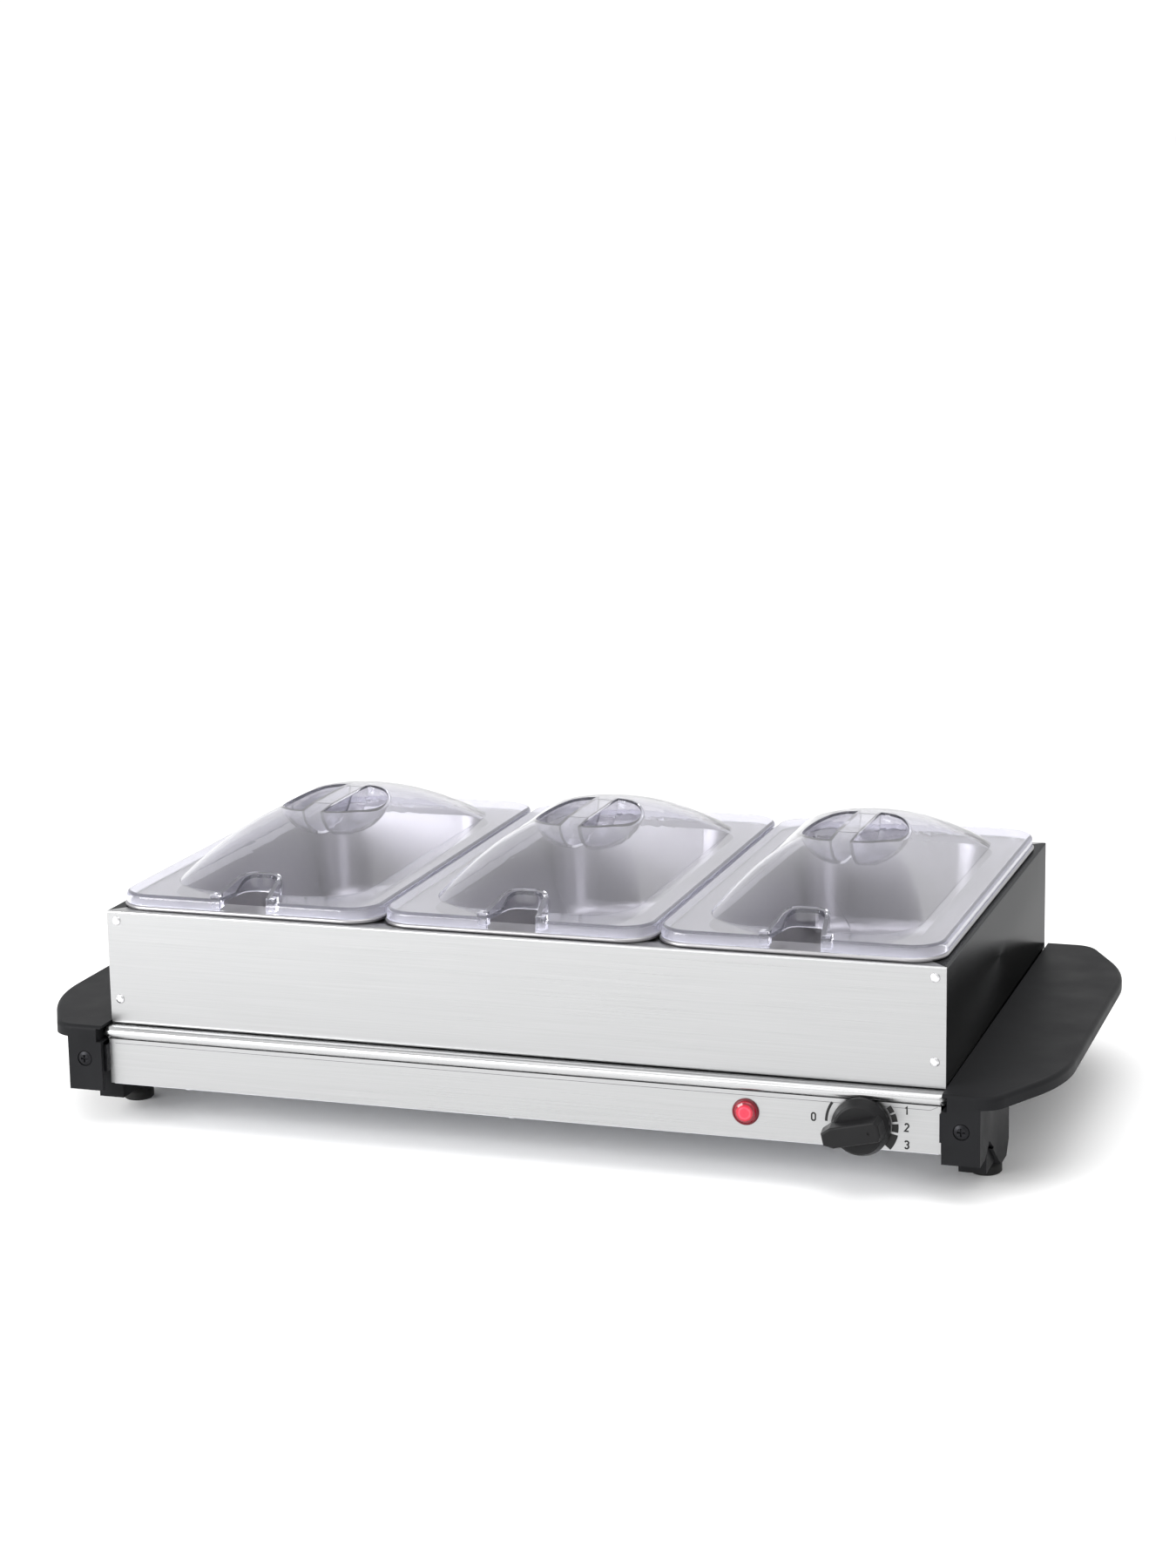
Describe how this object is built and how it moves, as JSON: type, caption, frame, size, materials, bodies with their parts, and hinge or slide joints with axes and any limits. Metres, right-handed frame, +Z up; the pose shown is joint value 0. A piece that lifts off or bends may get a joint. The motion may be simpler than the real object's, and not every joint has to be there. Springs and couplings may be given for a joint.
{
  "type": "electric buffet server",
  "caption": "Low electric warming unit with end handles and a knob; a lift-off steel frame holds steel food pans under clear domed lids.",
  "frame": {"origin": "on the surface under the feet, at the middle of the whole object's box in plan", "axes": "+X to the user's right along the row of pans, +Y away from the control knob, +Z up"},
  "size_m": [0.614, 0.338, 0.172],
  "materials": {
    "plate_steel": "brushed",
    "panel_steel": "fine brushed",
    "zinc_steel": "zinc plated",
    "frame_steel": "fine horizontal brushing",
    "frame_side_steel": "fine brushing",
    "divider_steel": "satin",
    "rivet_aluminium": "satin",
    "pan_steel": "satin polished",
    "lid_plastic": "clear, slightly grey",
    "handle_plastic": "fine satin texture",
    "knob_plastic": "satin",
    "foot_rubber": "matt",
    "bush_rubber": "matt",
    "black_screw": "black oxide",
    "screw_steel": "bright zinc",
    "lens_plastic": "clear red",
    "bezel_plastic": "dark red gloss",
    "lamp_plastic": "natural",
    "neon_glass": "clear",
    "ceramic_white": "matt",
    "terminal_plastic": "natural",
    "mica": "flaky satin",
    "element_wire": "oxidised",
    "insulation_wool": "woolly",
    "brass_parts": "satin",
    "lead_sleeve": "woven glass sleeve"
  },
  "bodies": {
    "base": {"warming_plate": "plate_steel", "front_panel": "panel_steel", "rear_panel": "panel_steel", "left_end_wall": "panel_steel", "right_end_wall": "panel_steel", "bottom_plate": "zinc_steel", "element_straps": "zinc_steel", "reflector_tray": "zinc_steel", "thermostat_bracket": "zinc_steel", "indicator_nut": "zinc_steel", "left_handle": "handle_plastic", "right_handle": "handle_plastic", "foot_front_left": "foot_rubber", "foot_front_right": "foot_rubber", "foot_rear_left": "foot_rubber", "foot_rear_right": "foot_rubber", "cord_bush": "bush_rubber", "handle_screws": "black_screw", "handle_brackets": "black_screw", "bottom_plate_screws": "screw_steel", "foot_screws": "screw_steel", "thermostat_screws": "screw_steel", "indicator_lens": "lens_plastic", "indicator_bezel": "bezel_plastic", "indicator_body": "lamp_plastic", "neon_tube": "neon_glass", "thermostat_body": "ceramic_white", "thermal_cutout": "ceramic_white", "terminal_block": "terminal_plastic", "heater_board": "mica", "heating_element": "element_wire", "insulation_mat": "insulation_wool", "earth_stud": "brass_parts", "earth_nut": "brass_parts", "internal_leads": "lead_sleeve"},
    "frame": {"frame_front": "frame_steel", "frame_rear": "frame_steel", "frame_left": "frame_side_steel", "frame_right": "frame_side_steel", "divider_left": "divider_steel", "divider_right": "divider_steel", "frame_rivets": "rivet_aluminium"},
    "pan_left": {"pan_left": "pan_steel"},
    "pan_centre": {"pan_centre": "pan_steel"},
    "pan_right": {"pan_right": "pan_steel"},
    "lid_left": {"lid_left": "lid_plastic"},
    "lid_centre": {"lid_centre": "lid_plastic"},
    "lid_right": {"lid_right": "lid_plastic"},
    "knob": {"control_knob": "knob_plastic", "thermostat_shaft": "zinc_steel", "knob_spring_clip": "zinc_steel"}
  },
  "joints": [
    {"name": "frame_lift", "type": "slide", "parent": "base", "child": "frame", "axis": [0, 0, 1], "range_m": [0, 0.12]},
    {"name": "pan_left_lift", "type": "slide", "parent": "frame", "child": "pan_left", "axis": [0, 0, 1], "range_m": [0, 0.12]},
    {"name": "lid_left_lift", "type": "slide", "parent": "pan_left", "child": "lid_left", "axis": [0, 0, 1], "range_m": [0, 0.08]},
    {"name": "pan_centre_lift", "type": "slide", "parent": "frame", "child": "pan_centre", "axis": [0, 0, 1], "range_m": [0, 0.12]},
    {"name": "lid_centre_lift", "type": "slide", "parent": "pan_centre", "child": "lid_centre", "axis": [0, 0, 1], "range_m": [0, 0.08]},
    {"name": "pan_right_lift", "type": "slide", "parent": "frame", "child": "pan_right", "axis": [0, 0, 1], "range_m": [0, 0.12]},
    {"name": "lid_right_lift", "type": "slide", "parent": "pan_right", "child": "lid_right", "axis": [0, 0, 1], "range_m": [0, 0.08]},
    {"name": "knob_turn", "type": "hinge", "parent": "base", "child": "knob", "pos_m": [0.2041, -0.15, 0.0414], "axis": [0, 1, 0], "range_deg": [0, 240]}
  ]
}
